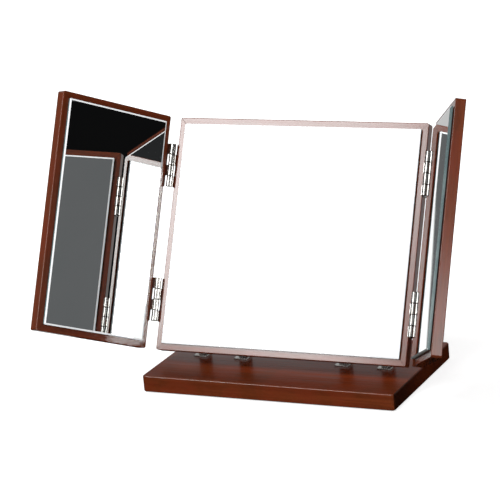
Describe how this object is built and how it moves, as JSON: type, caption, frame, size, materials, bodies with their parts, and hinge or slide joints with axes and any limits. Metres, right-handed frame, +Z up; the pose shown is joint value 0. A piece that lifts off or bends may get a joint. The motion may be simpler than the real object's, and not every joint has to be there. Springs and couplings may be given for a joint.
{
  "type": "trifold vanity mirror",
  "caption": "Free-standing trifold vanity mirror: a tilting centre mirror in a slim wood frame on a flat base board, with two folding wing mirrors on knuckle hinges.",
  "frame": {"origin": "centre of the felt underside of the base, on the surface the mirror stands on", "axes": "+X to the user's right along the base's width, +Y away from the user, +Z up; the panels lean back towards +Y at rest"},
  "size_m": [0.5048, 0.2728, 0.3583],
  "materials": {
    "lacquered_wood": "dark red-brown stained wood under a glossy clear lacquer",
    "lacquered_board": "stained board under a satin lacquer",
    "mirror_glass": "silvered float glass with a narrow polished bevel",
    "hinge_nickel": "bright nickel plate",
    "stand_steel": "nickel-plated steel plate, satin",
    "screw_steel": "nickel-plated steel",
    "foam_tape": "white foam mounting tape",
    "felt": "dark felt"
  },
  "bodies": {
    "base": {"base_board": "lacquered_wood", "base_felt": "felt", "left_tilt_stand": "stand_steel", "right_tilt_stand": "stand_steel", "left_tilt_pin": "stand_steel", "right_tilt_pin": "stand_steel", "stand_foot_screws": "screw_steel"},
    "centre_panel": {"centre_top_rail": "lacquered_wood", "centre_bottom_rail": "lacquered_wood", "centre_left_stile": "lacquered_wood", "centre_right_stile": "lacquered_wood", "centre_back_board": "lacquered_board", "centre_mirror": "mirror_glass", "centre_mirror_tape": "foam_tape", "left_tilt_leaf": "stand_steel", "right_tilt_leaf": "stand_steel", "tilt_leaf_screws": "screw_steel", "left_upper_hinge_centre_leaf": "hinge_nickel", "left_lower_hinge_centre_leaf": "hinge_nickel", "right_upper_hinge_centre_leaf": "hinge_nickel", "right_lower_hinge_centre_leaf": "hinge_nickel", "left_hinge_pins": "hinge_nickel", "right_hinge_pins": "hinge_nickel", "centre_hinge_screws": "screw_steel"},
    "left_wing": {"left_wing_top_rail": "lacquered_wood", "left_wing_bottom_rail": "lacquered_wood", "left_wing_outer_stile": "lacquered_wood", "left_wing_hinge_stile": "lacquered_wood", "left_wing_back_board": "lacquered_board", "left_wing_mirror": "mirror_glass", "left_wing_mirror_tape": "foam_tape", "left_upper_hinge_wing_leaf": "hinge_nickel", "left_lower_hinge_wing_leaf": "hinge_nickel", "left_wing_hinge_screws": "screw_steel"},
    "right_wing": {"right_wing_top_rail": "lacquered_wood", "right_wing_bottom_rail": "lacquered_wood", "right_wing_outer_stile": "lacquered_wood", "right_wing_hinge_stile": "lacquered_wood", "right_wing_back_board": "lacquered_board", "right_wing_mirror": "mirror_glass", "right_wing_mirror_tape": "foam_tape", "right_upper_hinge_wing_leaf": "hinge_nickel", "right_lower_hinge_wing_leaf": "hinge_nickel", "right_wing_hinge_screws": "screw_steel"}
  },
  "joints": [
    {"name": "panel_tilt", "type": "hinge", "parent": "base", "child": "centre_panel", "pos_m": [0, -0.005, 0.0903], "axis": [-1, 0, 0], "range_deg": [-26, 24]},
    {"name": "left_wing_fold", "type": "hinge", "parent": "centre_panel", "child": "left_wing", "pos_m": [-0.1644, 0.00877, 0.1687], "axis": [0, 0.4384, 0.8988], "range_deg": [-64.5, 115.5]},
    {"name": "right_wing_fold", "type": "hinge", "parent": "centre_panel", "child": "right_wing", "pos_m": [0.1644, 0.00877, 0.1687], "axis": [0, -0.4384, -0.8988], "range_deg": [-62, 118]}
  ]
}
